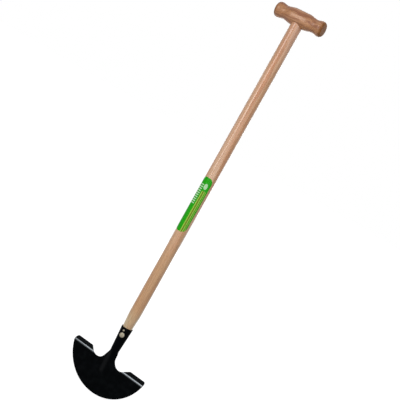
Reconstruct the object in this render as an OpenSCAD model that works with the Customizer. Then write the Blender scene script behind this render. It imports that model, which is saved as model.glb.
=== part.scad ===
// Half moon edger: a pressed steel lawn edging blade on a hardwood shaft with a turned T grip.
// The shaft stands on the Z axis. The blade faces -Y and its arc touches Z = 0.

/* [Blade] */
// Radius of the half moon cutting edge
blade_r = 106; // [100:1:114]
// Thickness of the steel sheet
sheet_t = 2; // [1.6:0.1:2.6]
// How far the middle of the blade sheet lies in front of the shaft axis
blade_set = 1.5; // [0:0.5:4]
// Height of the fold line of the treads above the lowest point of the edge
fold_z = 78.5; // [74:0.5:85]
// Width of the ground bevel behind the cutting edge
edge_w = 4; // [2:0.5:8]
// Thickness left at the cutting edge
edge_t = 0.8; // [0.4:0.1:1.4]

/* [Treads] */
// Angle that the treads are folded back through
tread_angle = 50; // [40:1:65]
// Radius of the fold on its outer face
bend_r = 7; // [5:0.5:9]
// Length of the flat of a tread beyond its fold
tread_flat = 9; // [5:0.5:12]
// Distance from the middle to the inner top corner of a tread
tread_in = 57; // [53:1:65]
// Radius of a tread's outer corner, seen from the front
tread_corner = 5; // [3:0.5:7]

/* [Neck] */
// Radius of the round notch between neck and tread
notch_r = 18; // [17:0.2:19.4]
// Distance of the notch's centre from the middle
notch_x = 33; // [31.8:0.1:34]
// How far the notch dips below the fold line
notch_drop = 1; // [0:0.5:3]
// Height of the lowest point of the frog
frog_z = 49; // [43:1:55]
// Half width of the frog in the blade
frog_w = 21.5; // [18.5:0.5:23.5]

/* [Socket] */
// Outer diameter of the socket at the neck, its narrowest place
neck_d = 20; // [19:0.2:21.2]
// Height of the neck
neck_z = 110; // [107:1:112]
// Outer diameter of the socket at its mouth
mouth_d = 27.8; // [26.4:0.2:29]
// Height of the socket mouth
mouth_z = 172; // [170:0.5:182]
// Width of the open seam at the back of the socket
seam_w = 1.2; // [0.6:0.1:2]

/* [Shaft] */
// Diameter of the shaft
shaft_d = 28; // [26.5:0.5:30]
// Height of the shaft's lower end, inside the socket
shaft_foot_z = 118; // [116:1:132]
// Chamfer on both ends of the shaft
shaft_chamfer = 1.5; // [0.5:0.5:3]

/* [Grip] */
// Height of the grip's axis
grip_z = 967.5; // [800:0.5:1100]
// Length of the grip
grip_l = 123; // [117:1:140]
// Diameter of the belly around the shaft
belly_d = 38.5; // [37.5:0.5:44]
// Length of the belly before it falls to the waists
belly_l = 32; // [30:1:38]
// Diameter of a waist
waist_d = 31.2; // [28:0.2:34]
// Distance of a waist from the middle
waist_x = 39; // [37:0.5:42]
// Diameter of an end bulb
bulb_d = 36; // [34.5:0.5:38]
// Distance of a bulb's crest from the middle
bulb_x = 53; // [51:0.5:55]
// Diameter of the flat end faces
end_d = 24.5; // [20:0.5:28]
// How far the shaft reaches above the grip's axis
tenon_up = 11; // [8:0.5:13]

/* [Fasteners] */
// Height of the rivet
rivet_z = 154; // [149:1:157]
// Turn of the rivet from the front, towards +X
rivet_turn = 11; // [0:1:15]
// Diameter of the rivet's shank
rivet_d = 6; // [5:0.5:7]
// Diameter of the rivet's front head
rivet_head_d = 12.5; // [11:0.5:15]
// Diameter of the rivet's clenched tail at the back
rivet_tail_d = 10; // [8:0.5:12]
// Height of a rivet head's rim above the socket
rivet_rim = 1.2; // [0.8:0.1:1.6]
// Height of a rivet head's dome above its rim
rivet_crown = 1; // [0.6:0.1:1.6]
// Height of the nail above the rivet
nail_rise = 11.4; // [11:0.2:12.4]
// Turn of the socket nail from the front, towards +X
nail_turn = 5; // [0:1:12]
// Diameter of the socket nail's shank
nail_d = 2.6; // [2:0.1:3.2]
// Diameter of the socket nail's head
nail_head_d = 5; // [4:0.5:6]
// Thickness of the socket nail's head
nail_head_t = 1; // [0.6:0.1:1.4]
// Length of the socket nail under its head
nail_l = 16; // [12:1:20]
// Diameter of the grip nail's shank
grip_nail_d = 3.5; // [2.5:0.1:4]
// Diameter of the grip nail's head
grip_nail_head_d = 7; // [6:0.5:8]
// Thickness of the grip nail's head
grip_nail_head_t = 1.4; // [1:0.1:2]
// Length of the grip nail under its head
grip_nail_l = 32; // [26:1:33]
// How far the grip nail's head is sunk below the belly
grip_nail_sink = 0.5; // [0.4:0.1:1]

/* [Label] */
// Height of the label's middle
label_z = 494.5; // [300:0.5:700]
// Length of the label along the shaft
label_l = 137; // [80:1:180]
// Width of the label around the shaft
label_w = 31; // [28:1:38]
// Corner radius of the label
label_corner = 13; // [4:0.5:13.5]
// Turn of the label from the front, towards +X
label_turn = -3; // [-30:1:30]
// Thickness of the label film
film_t = 0.15; // [0.1:0.05:0.3]

/* [Fit] */
// Clearance between pieces that are driven or stuck together
fit = 0.05; // [0.02:0.01:0.1]

/* [Hidden] */

$fn = 96;
// Segments of the widest arcs
fine = 240;
// Spare length by which a cutting shape runs past what it cuts
over = 1;
// How far the neck's skin lies inside the flat blade and the socket where it runs into them
skin_in = 0.05;
// How far the neck runs into the flat blade and the socket
lap = 2;

// Blade sheet: middle plane, faces and the two ends of the fold
blade_y = -blade_set;
blade_back = blade_y + sheet_t / 2;
bend_y = blade_y - sheet_t / 2 + bend_r;
tread_top = fold_z + bend_r * sin(tread_angle) + tread_flat * cos(tread_angle);
fold_half = sqrt(pow(blade_r, 2) - pow(blade_r - fold_z, 2));

// Notch circle, and the roll of the sheet at the neck
notch_z = fold_z - notch_drop + notch_r;
notch_top = notch_z + notch_r;
neck_r = neck_d / 2 - sheet_t / 2;
cone_slope = (mouth_d - neck_d) / 2 / (mouth_z - neck_z);
frog_edge = frog_w + lap;
// Share of the notch's radius at which the slanted end of a tread starts
slant_share = 0.98;
frog_start = asin((notch_x - frog_edge) / notch_r);

// The neck begins to roll at the first share of the notch and is a full tube at the second
roll_from = 0.25;
roll_to = 0.97;

// Mesh steps of the neck: half way across, up the frog, and round the notch
neck_cols = 16;
frog_rows = 9;
notch_rows = 15;
// Share of a step across over which the direction of the sheet is taken
probe = 0.125;

// Shaft: radius inside the socket, height where its taper ends, and its top
shaft_r = shaft_d / 2;
foot_r = socket_r(shaft_foot_z) - sheet_t - fit;
taper_top = shaft_foot_z + (shaft_r - foot_r) / cone_slope;
shaft_top = grip_z + tenon_up;

// Steps along each curve of the grip's profile
grip_steps = 14;

// Nails: height of the socket nail, seat of the grip nail's head, and length of a point in shank diameters
nail_z = rivet_z + nail_rise;
grip_nail_seat = belly_d / 2 - grip_nail_sink - grip_nail_head_t;
nail_tip = 1.5;

// Steps round a corner of the label
label_steps = 12;

// Outer radius of the socket at height z
function socket_r(z) = neck_d / 2 + cone_slope * (z - neck_z);

// Smooth step from 0 to 1 while t goes from 0 to 1
function ease(t) = (1 - cos(180 * min(1, max(0, t)))) / 2;

// Radius of the middle of the sheet where it is rolled to a tube at height z
function tube_r(z) = neck_r + cone_slope * max(0, z - neck_z);

// How far the front of the frog and neck stands out from the blade at height z
function frog_rise(z) = (tube_r(z) - blade_set) * min(1, max(0, (z - frog_z) / (neck_z - frog_z)));

// Half width of the pressed frog at height z: a round foot, then parallel sides
function frog_half(z) = let (d = max(0, frog_z + frog_w - z)) sqrt(max(0, pow(frog_w, 2) - pow(d, 2)));

// Half width of the flat blank at height z: inside the blade, then along the notch, then round the tube
function blank_half(z) =
    let (rolled = PI * tube_r(z) - seam_w / 2 - 2 * skin_in)
    z >= notch_top ? rolled
    : z <= notch_z - notch_r * cos(frog_start) ? frog_edge
    : min(rolled, notch_x - sqrt(max(0, pow(notch_r, 2) - pow(z - notch_z, 2))));

// Share of the roll from flat blade to tube at height z
function roll(z) = ease(((z - notch_z + notch_r) / (2 * notch_r) - roll_from) / (roll_to - roll_from));

// Middle of the sheet at height z, a distance l across the blank from its centre line
function pressed(l, z) =
    let (half = frog_half(z))
    [l, blade_y - (abs(l) < half ? frog_rise(z) * (1 + cos(180 * l / half)) / 2 : 0)];
function rolled(l, z) =
    let (r = tube_r(z), a = l / r * 180 / PI)
    [r * sin(a), blade_y - frog_rise(z) + r - r * cos(a)];
function sheet_mid(l, z) = (1 - roll(z)) * pressed(l, z) + roll(z) * rolled(l, z);

// Closed outline of the neck's sheet at height z: front face from left to right, then back face
function neck_section(z) =
    let (
        step = blank_half(z) / neck_cols,
        nudge = probe * step,
        side = sheet_t / 2 - skin_in,
        mid = [for (i = [-neck_cols : neck_cols]) sheet_mid(i * step, z)],
        along = [for (i = [-neck_cols : neck_cols])
            sheet_mid(i * step + nudge, z) - sheet_mid(i * step - nudge, z)],
        out = [for (d = along) [d[1], -d[0]] / norm(d) * side]
    )
    concat(
        [for (i = [0 : len(mid) - 1]) [each mid[i] + out[i], z]],
        [for (i = [len(mid) - 1 : -1 : 0]) [each mid[i] - out[i], z]]
    );

// Heights of the neck's sections: up the frog, round the notch, and into the socket
neck_heights = concat(
    [for (i = [0 : frog_rows - 1])
        frog_z - lap + i / frog_rows * (notch_z - notch_r * cos(frog_start) - frog_z + lap)],
    [for (i = [0 : notch_rows]) notch_z - notch_r * cos(frog_start + i / notch_rows * (180 - frog_start))],
    [notch_top + lap]
);

// Solid through a stack of closed strip sections: one face there, the other face back, all alike in count
module loft(sections) {
    n = len(sections[0]);
    top = (len(sections) - 1) * n;
    sides = [for (k = [0 : n : top - n], i = [0 : n - 1])
        let (a = k + i, b = k + (i + 1) % n)
        each [[a, a + n, b], [b, a + n, b + n]]];
    caps = [for (i = [0 : n / 2 - 2])
        let (j = n - 1 - i)
        each [
            [i, i + 1, j],
            [i + 1, j - 1, j],
            [top + i + 1, top + i, top + j],
            [top + j - 1, top + i + 1, top + j],
        ]];
    polyhedron([for (s = sections) each s], concat(sides, caps), convexity = 6);
}

// Lays a drawing of X and Z upright, running from the front plane y0 to y1
module upright(y0, y1) {
    translate([0, y1, 0]) rotate([90, 0, 0]) linear_extrude(y1 - y0) children();
}

// Places children, drawn along +Z from the shaft axis, to point out of the front at height z and a turn
module facing(z, turn) {
    translate([0, 0, z]) rotate([90, 0, turn]) children();
}

// Front view of blade and treads, without the neck
module blade_outline() {
    difference() {
        intersection() {
            translate([0, blade_r]) circle(blade_r, $fn = fine);
            translate([-fold_half, 0]) square([2 * fold_half, tread_top]);
        }
        for (side = [-1, 1]) {
            translate([side * notch_x, notch_z]) circle(notch_r);
            tread_corner_cut(side);
        }
        neck_gap();
        translate([0, frog_z + frog_w]) circle(frog_w);
        translate([-frog_w, frog_z + frog_w]) square([2 * frog_w, tread_top]);
    }
}

// Opening between the treads, with ends that slant up from just inside the notches
module neck_gap() {
    corner = [tread_in - notch_x, tread_top - notch_z];
    turn = atan2(corner[1], corner[0]) - acos(notch_r / norm(corner));
    slant = [notch_x, notch_z] + slant_share * notch_r * [cos(turn), sin(turn)];
    polygon([
        [-tread_in, tread_top],
        [-slant[0], slant[1]],
        [slant[0], slant[1]],
        [tread_in, tread_top],
        [tread_in, tread_top + over],
        [-tread_in, tread_top + over],
    ]);
}

// What is cut off to round the outer corner of one tread
module tread_corner_cut(side) {
    difference() {
        translate([side * (fold_half - tread_corner / 2), tread_top - tread_corner / 2])
            square(tread_corner + 2 * over, center = true);
        translate([side * (fold_half - tread_corner), tread_top - tread_corner]) circle(tread_corner);
        translate([side * (fold_half - 2 * tread_corner), tread_top - tread_corner])
            square(2 * tread_corner, center = true);
    }
}

// Side view of the sheet, with Y to the right: the blade, the fold and the flat of a tread
module sheet_profile() {
    translate([blade_y - sheet_t / 2, -over]) square([sheet_t, fold_z + over]);
    translate([bend_y, fold_z]) {
        difference() {
            circle(bend_r);
            circle(bend_r - sheet_t);
            translate([-2 * bend_r, -4 * bend_r]) square(4 * bend_r);
            rotate(-tread_angle) translate([-2 * bend_r, 0]) square(4 * bend_r);
        }
        rotate(-tread_angle) translate([-bend_r, 0]) square([sheet_t, tread_flat]);
    }
}

// Ground bevel that is taken off the back of the cutting edge
module edge_bevel() {
    drop = asin((blade_r - fold_z) / blade_r);
    translate([0, blade_back, blade_r]) rotate([90, 0, 0]) rotate(180 + drop)
        rotate_extrude(angle = 180 - 2 * drop, $fn = fine)
            polygon([
                [blade_r - edge_w, 0],
                [blade_r + edge_w, 2 * (sheet_t - edge_t)],
                [blade_r + edge_w, -over],
                [blade_r - edge_w, -over],
            ]);
}

// Cone that is the outside of the socket, grown by a clearance
module socket_cone(extra) {
    translate([0, 0, notch_top])
        cylinder(h = mouth_z - notch_top, r1 = socket_r(notch_top) + extra, r2 = mouth_d / 2 + extra);
}

// Rolled socket with its open seam and the holes for rivet and nail
module socket_shell() {
    foot = socket_r(notch_top);
    mouth = socket_r(mouth_z);
    difference() {
        rotate_extrude() polygon([
            [foot - sheet_t, notch_top],
            [foot, notch_top],
            [mouth, mouth_z],
            [mouth - sheet_t, mouth_z],
        ]);
        translate([-seam_w / 2, 0, notch_top - over])
            cube([seam_w, mouth_d, mouth_z - notch_top + 2 * over]);
        facing(rivet_z, rivet_turn) cylinder(h = 2 * mouth_d, d = rivet_d + 2 * fit, center = true);
        facing(nail_z, nail_turn) cylinder(h = mouth_d, d = nail_d + 2 * fit);
    }
}

// Flat of the blade with its folded treads and ground edge
module blade_sheet() {
    difference() {
        intersection() {
            upright(-2 * blade_r, 2 * blade_r) blade_outline();
            translate([-blade_r, 0, 0]) rotate([90, 0, 90]) linear_extrude(2 * blade_r) sheet_profile();
        }
        edge_bevel();
    }
}

module blade_head() {
    color("#17191a") {
        blade_sheet();
        loft([for (z = neck_heights) neck_section(z)]);
        socket_shell();
    }
}

module shaft() {
    color("#c49a6c") difference() {
        rotate_extrude() polygon([
            [0, shaft_foot_z],
            [foot_r - shaft_chamfer, shaft_foot_z],
            [foot_r + cone_slope * shaft_chamfer, shaft_foot_z + shaft_chamfer],
            [shaft_r, taper_top],
            [shaft_r, shaft_top - shaft_chamfer],
            [shaft_r - shaft_chamfer, shaft_top],
            [0, shaft_top],
        ]);
        facing(rivet_z, rivet_turn) cylinder(h = 2 * shaft_d, d = rivet_d + 2 * fit, center = true);
        facing(nail_z, nail_turn) nail_bore(socket_r(nail_z), nail_l, nail_d);
        facing(grip_z, 180) nail_bore(grip_nail_seat, grip_nail_l, grip_nail_d);
    }
}

// Profile of one half of the grip, as X along the grip and the radius
function grip_curve(x0, d0, x1, d1) =
    [for (i = [1 : grip_steps]) let (t = i / grip_steps)
        [x0 + (x1 - x0) * t, d0 / 2 + (d1 - d0) / 2 * ease(t)]];
function grip_end() =
    let (run = grip_l / 2 - bulb_x, fall = (bulb_d - end_d) / 2)
    [for (i = [1 : grip_steps]) let (a = 90 * i / grip_steps)
        [bulb_x + run * sin(a), bulb_d / 2 - fall * (1 - cos(a))]];

module t_grip() {
    half = concat(
        [[belly_l / 2, belly_d / 2]],
        grip_curve(belly_l / 2, belly_d, waist_x, waist_d),
        grip_curve(waist_x, waist_d, bulb_x, bulb_d),
        grip_end()
    );
    color("#b98c5e") difference() {
        translate([0, 0, grip_z]) rotate([90, 0, 90]) rotate_extrude() polygon(concat(
            [[0, -grip_l / 2]],
            [for (i = [len(half) - 1 : -1 : 0]) [half[i][1], -half[i][0]]],
            [for (p = half) [p[1], p[0]]],
            [[0, grip_l / 2]]
        ));
        translate([0, 0, grip_z - belly_d])
            cylinder(h = belly_d + tenon_up + fit, r = shaft_r + fit);
        facing(grip_z, 180) {
            nail_bore(grip_nail_seat, grip_nail_l, grip_nail_d);
            translate([0, 0, grip_nail_seat]) cylinder(h = belly_d, d = grip_nail_head_d + 2 * fit);
        }
    }
}

// Low domed head of a rivet on the socket at radius r
module rivet_head(r, d) {
    dome = (pow(d / 2, 2) + pow(rivet_crown, 2)) / (2 * rivet_crown);
    rotate_extrude() intersection() {
        translate([0, r + rivet_rim + rivet_crown - dome]) circle(dome, $fn = fine);
        square([d / 2, r + rivet_rim + rivet_crown]);
        translate([0, r / 2]) square([d, r]);
    }
}

module head_rivet() {
    r = socket_r(rivet_z);
    color("#a9a392") union() {
        facing(rivet_z, rivet_turn) cylinder(h = 2 * r + rivet_rim, d = rivet_d, center = true);
        difference() {
            union() {
                facing(rivet_z, rivet_turn) rivet_head(r, rivet_head_d);
                facing(rivet_z, rivet_turn + 180) rivet_head(r, rivet_tail_d);
            }
            socket_cone(fit);
        }
    }
}

// Nail whose head sits on radius r and whose shank runs in to the axis
module nail(r, l, d, head_d, head_t) {
    rotate_extrude() polygon([
        [0, r - l],
        [d / 2, r - l + nail_tip * d],
        [d / 2, r],
        [head_d / 2, r],
        [head_d / 2, r + head_t / 2],
        [head_d / 2 - head_t / 2, r + head_t],
        [0, r + head_t],
    ]);
}

// Bore that such a nail makes below its head
module nail_bore(r, l, d) {
    rotate_extrude() polygon([
        [0, r - l - fit],
        [d / 2 + fit, r - l + nail_tip * d - fit],
        [d / 2 + fit, r + over],
        [0, r + over],
    ]);
}

module socket_nail() {
    color("#9a9c98") facing(nail_z, nail_turn)
        nail(socket_r(nail_z) + fit, nail_l, nail_d, nail_head_d, nail_head_t);
}

module grip_nail() {
    color("#9a9c98") facing(grip_z, 180)
        nail(grip_nail_seat, grip_nail_l, grip_nail_d, grip_nail_head_d, grip_nail_head_t);
}

// Outline of the label: the film bends about the shaft, so its width is seen as a sine
function label_point(l, z) = [shaft_r * sin(l / shaft_r * 180 / PI), z];
function label_round(sx, sz) =
    let (l = label_w / 2 - label_corner, h = label_l / 2 - label_corner, from = sx == sz ? 0 : 90)
    [for (i = [0 : label_steps]) let (a = from + (sx == sz ? 1 : -1) * 90 * i / label_steps)
        label_point(sx * (l + label_corner * cos(a)), sz * (h + label_corner * sin(a)))];

module shaft_label() {
    color("#3da635") translate([0, 0, label_z]) rotate(label_turn) intersection() {
        difference() {
            cylinder(h = label_l, r = shaft_r + fit + film_t, center = true);
            cylinder(h = label_l + over, r = shaft_r + fit, center = true);
        }
        upright(-shaft_d, 0) polygon(concat(
            label_round(1, 1), label_round(-1, 1), label_round(-1, -1), label_round(1, -1)
        ));
    }
}

blade_head();
shaft();
t_grip();
head_rivet();
socket_nail();
grip_nail();
shaft_label();
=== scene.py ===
"""Looks of a half moon edger: pressed steel head, wooden shaft, turned T grip, rivet, nails and film label."""

import math

import bmesh
import bpy
from bpy.props import FloatProperty, FloatVectorProperty, PointerProperty
from mathutils import Matrix, Vector


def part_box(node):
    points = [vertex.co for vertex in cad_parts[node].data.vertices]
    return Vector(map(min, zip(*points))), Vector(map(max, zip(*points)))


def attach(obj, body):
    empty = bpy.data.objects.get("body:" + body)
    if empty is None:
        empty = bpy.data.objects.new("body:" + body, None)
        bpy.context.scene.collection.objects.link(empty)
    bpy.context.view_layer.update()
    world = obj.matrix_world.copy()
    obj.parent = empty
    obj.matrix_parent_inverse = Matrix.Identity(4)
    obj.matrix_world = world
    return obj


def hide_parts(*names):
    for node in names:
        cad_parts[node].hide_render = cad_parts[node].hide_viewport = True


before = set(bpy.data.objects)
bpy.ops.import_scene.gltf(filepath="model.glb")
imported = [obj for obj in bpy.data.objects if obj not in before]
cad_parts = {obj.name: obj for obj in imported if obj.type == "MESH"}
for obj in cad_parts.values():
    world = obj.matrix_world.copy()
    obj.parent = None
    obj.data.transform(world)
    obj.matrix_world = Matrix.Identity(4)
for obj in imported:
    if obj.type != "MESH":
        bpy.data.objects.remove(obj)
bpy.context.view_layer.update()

bl_info = {
    "name": "Half Moon Edger",
    "version": (1, 0, 0),
    "blender": (4, 5, 0),
    "location": "3D View > Sidebar > Edger",
    "description": "Dresses the packed solids of a half moon edger: head, shaft, grip, fasteners, label, stage",
    "category": "Object",
}

MM = 0.001

# Kinds of node, and settings that many nodes share.
MATH, RANGE, MIX, NOISE = "ShaderNodeMath", "ShaderNodeMapRange", "ShaderNodeMix", "ShaderNodeTexNoise"
VECTOR, BUMP = "ShaderNodeVectorMath", "ShaderNodeBump"
SPLIT, JOIN = "ShaderNodeSeparateXYZ", "ShaderNodeCombineXYZ"
ADD, SUBTRACT, MULTIPLY, DIVIDE = ({"operation": name} for name in ("ADD", "SUBTRACT", "MULTIPLY", "DIVIDE"))
ABSOLUTE, SQRT, ARCTAN2, MAXIMUM = ({"operation": name} for name in ("ABSOLUTE", "SQRT", "ARCTAN2", "MAXIMUM"))
SMOOTH = {"interpolation_type": "SMOOTHSTEP"}
TONES = {"data_type": "RGBA"}

# Enamel: name, roughness and specular level of each finish.
ENAMEL_FINISHES = (("satin", 0.36, 0.012), ("gloss", 0.12, 1.0), ("worn", 0.3, 0.045))
SATIN, GLOSS, WORN = range(3)
# Rubbed spots: size in millimetres, the noise they start and are full at, how much rougher they are, and their
# tone as a factor on the enamel and an addition.
RUB_SIZE, RUB_NOISE, RUB_ROUGHER, RUB_TONE = 14, (0.42, 0.72), 0.12, (1.7, 0.0008)
# Orange peel: size in millimetres, strength, and depth in millimetres. Real orange peel is about 0.5 mm wide, and
# is drawn at 2 mm so that it shows.
PEEL_SIZE, PEEL_BUMP, PEEL_DEPTH = 2, 0.25, 0.05
# A painted highlight along the frog's ridge in millimetres: its middle, where it fades out and is full beside
# that, and where it starts and is full going up and coming down. Its lighter tone is a factor and an addition too.
RIDGE_HIGHLIGHT_X, RIDGE_HIGHLIGHT_BESIDE, RIDGE_HIGHLIGHT_UP, RIDGE_HIGHLIGHT_DOWN = -5, (8, 1), (48, 58), (118, 95)
RIDGE_HIGHLIGHT_TONE = (2, 0.005)

# Growth lines and pores of the wood: width and length in millimetres, detail, and the noise they start and are
# full at. Real growth lines are 0.3 mm wide and real pores 0.2 mm, and are drawn wider so that they show.
ASH_LINES = (1.5, 150, 2, 0.52, 0.66)
ASH_PORES = (0.9, 45, 2, 0.57, 0.66)
# Broad figure and bands: as above, with their length as a share of the wood's run.
ASH_BROAD = (12, 1.0, 2, 0.4, 0.6)
ASH_BANDS = (10, 1.15, 3, 0.44, 0.62)
# How much of the streak's tone the bands take, and how much of a zone's tone is left where the figure is dark.
BAND_SHARE, ZONE_LEFT = 0.85, 0.55
# How brown growth lines and pores are, how dark that brown is beside the streaks, and how high lines stand.
LINE_MARK, PORE_MARK, MARK_DARK, LINE_HEIGHT = 0.5, 0.22, 0.6, -0.5
ASH_ROUGHNESS, LACQUER_ROUGHNESS, GRAIN_BUMP, GRAIN_DEPTH = (0.42, 0.62), 0.12, 0.15, 0.06
# Coat weight and specular level of each wooden surface.
SHAFT_GLOSS, GRIP_GLOSS, END_GLOSS = (0.8, 0.45), (0.18, 0.45), (0.0, 0.12)
# Each zone is an axis, where it starts and where it is full in millimetres, its tone and its strength.
# The flame is one strong streak: its turn from the front, its half width, how far it sways, and where it starts
# and is full going up and coming down. Its sides fade between two shares of the half width.
FLAME_DRIFT, FLAME_DETAIL, FLAME_SIDES = (20, 20, 90), 2, (1.4, 0.5)
SHAFT_WOOD = {
    "tones": ("ash_pale", "ash_dark", "ash_streak"),
    "turn": (0.0, math.radians(1.5), 0.0),
    "shift": (191.0, -258.0, 1740.0),
    "run": 260,
    "zones": ((2, 480, 300, "ash_low", 0.7), (2, 235, 185, "ash_foot", 1.0), (2, 840, 940, "ash_top", 0.8)),
    "flame": {"tone": "ash_flame", "turn": math.radians(29), "half": math.radians(10), "sway": math.radians(20),
              "up": (660, 830), "down": (925, 885)},
}
GRIP_WOOD = {
    "tones": ("grip_pale", "grip_dark", "grip_streak"),
    "turn": (0.0, -math.pi / 2, 0.0),
    "shift": (253.0, -344.0, 2320.0),
    "run": 50,
    # The darker zone at the ends is end grain on the end faces and painted shade on the rims of the bulbs.
    "zones": ((0, 52, 60, "grip_end", 1.0),),
    "flame": None,
}

# Fasteners: node, turn of the axis from the front in degrees, radius of the bare face in millimetres.
FASTENERS = (("head_rivet", 11, 5.65), ("socket_nail", 5, 2.1), ("grip_nail", 180, 10))
# Scuffs: size in millimetres, noise they start and are full at, and darkness. Dents: size, strength and depth.
SCUFF_SIZE, SCUFF_NOISE, SCUFF_DARK = 2.4, (0.4, 0.7), 0.6
DENT_SIZE, DENT_BUMP, DENT_DEPTH = 1.6, 0.4, 0.15
STEEL_ROUGHNESS, RIM_SOFT = (0.42, 0.6), 0.2

# The label's print in millimetres, round the shaft from its front and up from the label's middle. A stripe is its
# middle, its half width and its tone.
# The first pale stripe lies where the lamp's highlight runs along the film: it is partly print and partly a
# painted highlight.
STRIPES_AND_HIGHLIGHT = ((2.1, 0.9, "film_pale_and_highlight"), (4.4, 0.9, "film_dark"), (6.5, 0.7, "film_pale_and_highlight"), (9.6, 0.5, "film_pale_and_highlight"))
STRIPES_UP = (-80.0, 36.0)
LADDER_ROUND, LADDER_UP = (-13.0, -1.5), (0.0, 52.0)
RUNG_STEP = 5.2
SPOT_AT, SPOT_HALF = (3.6, 47.0), (3.8, 7.5)
# The print's soft edge in millimetres, the spot's edge as shares of its half size, and how dense each print is.
PRINT_EDGE, SPOT_EDGE = 0.25, (1.05, 0.85)
STRIPE_INK, RUNG_INK, SPOT_INK = 0.8, 0.75, 0.65
# Mottle of the ground: size in millimetres, noise it starts and is full at, share and darkness.
MOTTLE_SIZE, MOTTLE_NOISE, MOTTLE_SHARE, MOTTLE_DARK = (9, 9, 40), (0.3, 0.7), 0.4, 0.8
FILM_ROUGHNESS, FILM_SPECULAR, FILM_COAT, FILM_COAT_ROUGHNESS = (0.26, 0.34), 0.06, 0.12, 0.1

# Where the neck's roll starts and how long it takes, as shares of the notch's height.
ROLL_START, ROLL_SHARE = 0.25, 0.72
# Points of the sheet closer than this are one, and heights closer than this are the same.
SHEET_MERGE, SHEET_SLACK = 0.02 * MM, 0.1 * MM
# Cut edges sharper than this are rounded, in this many steps.
RIM_ANGLE, RIM_STEPS = math.radians(48), 2

# Turned pieces: points along the axis, sides of a ring, sides of the nail's recess, and length of a boring tool.
GRIP_POINTS, SHAFT_POINTS, RING_SIDES, RECESS_SIDES = 301, 217, 96, 48
TOOL_L = 60 * MM
# The lacquer ends this far past a bulb's crest, and edges sharper than this angle stay crisp.
END_GRAIN_AT = 4 * MM
CRISP_ANGLE = math.radians(35)

# Softboxes: name, foot, top, width in metres, watts.
SOFTBOXES = (
    ("strip_softbox", (-0.58, -1.88, 0.45), (-0.58, -1.22, 1.57), 0.65, 13.6),
    ("front_softbox", (2.4, -2.25, 0.05), (2.4, -1.6, 3.5), 4.2, 67.0),
    ("rear_softbox", (-0.9, 2.3, 2.1), (-0.9, 2.6, 0.2), 1.4, 30.0),
)
SURROUND_FILL = 0.29
FLOOR_HALF, FLOOR_SHADE = 30.0, 0.4
# The floor's own white near the object and far from it, and the distances in metres between which it grows.
FLOOR_WHITE, FLOOR_REACH = (0.84, 0.92), (0.4, 3.0)
# Camera: lens and sensor in millimetres, its turn, rise and roll, the point it aims at, to its right and up, and
# its distance in metres.
LENS, SENSOR = 79.8, 36.0
CAMERA_TURN, CAMERA_RISE, CAMERA_ROLL = (math.radians(angle) for angle in (22.37, 4.69, 29.27))
AIM_RIGHT, AIM_UP, CAMERA_AWAY = 2.06 * MM, 508.59 * MM, 2.0


def hex_linear(text):
    """Linear RGB of an sRGB hex colour such as 2fa322."""
    channels = [int(text[i:i + 2], 16) / 255 for i in (0, 2, 4)]
    return tuple(c / 12.92 if c <= 0.04045 else ((c + 0.055) / 1.055) ** 2.4 for c in channels)


def length(name, description, mm):
    """A length property with its default in millimetres."""
    return FloatProperty(name=name, description=description, default=mm * MM, min=0.0, precision=5,
                         subtype="DISTANCE", unit="LENGTH")


def colour(name, description, text):
    """A colour property with its default as sRGB hex."""
    return FloatVectorProperty(name=name, description=description, default=hex_linear(text), size=3,
                               min=0.0, max=1.0, subtype="COLOR")


class EdgerHead(bpy.types.PropertyGroup):
    """Sizes of the pressed steel head."""

    blade_r: length("Blade radius", "Radius of the cutting edge", 106)
    sheet: length("Sheet", "Thickness of the sheet", 2)
    blade_set: length("Blade set", "Middle of the sheet in front of the shaft's axis", 1.5)
    fold_z: length("Fold height", "Height at which the treads start to fold", 78.5)
    edge_w: length("Edge width", "Width of the ground edge", 4)
    edge_t: length("Edge thickness", "Thickness left at the ground edge", 0.8)
    tread_angle: FloatProperty(name="Tread angle", description="Angle that the treads are folded back by",
                               default=math.radians(50), subtype="ANGLE", unit="ROTATION")
    bend_r: length("Bend radius", "Outer radius of the fold", 7)
    tread_flat: length("Tread flat", "Flat width of a tread past the fold", 9)
    tread_in: length("Tread inner end", "Where a tread's top edge ends, from the axis", 57)
    tread_corner: length("Tread corner", "Radius of a tread's outer corner", 5)
    notch_r: length("Notch radius", "Radius of the round notch beside the neck", 18)
    notch_x: length("Notch offset", "Middle of the notch, from the axis", 33)
    notch_drop: length("Notch drop", "Bottom of the notch below the fold", 1)
    frog_z: length("Frog foot", "Height of the foot of the bulge below the neck", 49)
    frog_w: length("Frog half width", "Half width of that bulge", 21.5)
    neck_d: length("Neck diameter", "Outer diameter of the rolled neck", 20)
    neck_z: length("Neck height", "Height at which the neck is fully round", 110)
    mouth_d: length("Mouth diameter", "Outer diameter of the socket's mouth", 27.8)
    mouth_z: length("Mouth height", "Height of the socket's mouth", 172)
    seam: length("Seam", "Open seam at the back of the socket", 1.2)
    rim: length("Rim", "Rounding of the sheet's cut edges", 0.35)


class EdgerGrip(bpy.types.PropertyGroup):
    """Sizes of the turned T grip."""

    span: length("Length", "Length of the grip", 123)
    axis_z: length("Height", "Height of the grip's axis", 967.5)
    belly_d: length("Belly diameter", "Diameter in the middle", 38.5)
    belly_l: length("Belly length", "Length of the cylindrical middle", 32)
    waist_d: length("Waist diameter", "Diameter at the thin places", 31.2)
    waist_x: length("Waist offset", "Thin places, from the middle", 39)
    bulb_d: length("Bulb diameter", "Diameter of the thick ends", 36)
    bulb_x: length("Bulb offset", "Thickest places of the ends, from the middle", 53)
    end_d: length("End diameter", "Diameter of the flat end faces", 24.5)
    bore_d: length("Bore diameter", "Bore for the shaft", 28.1)
    bore_up: length("Bore end", "Top of the bore above the grip's axis", 11.05)
    nail_head_d: length("Nail recess", "Diameter of the recess for the nail's head", 7.1)
    nail_seat: length("Nail seat", "Seat of the nail's head, from the axis", 17.35)


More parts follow.
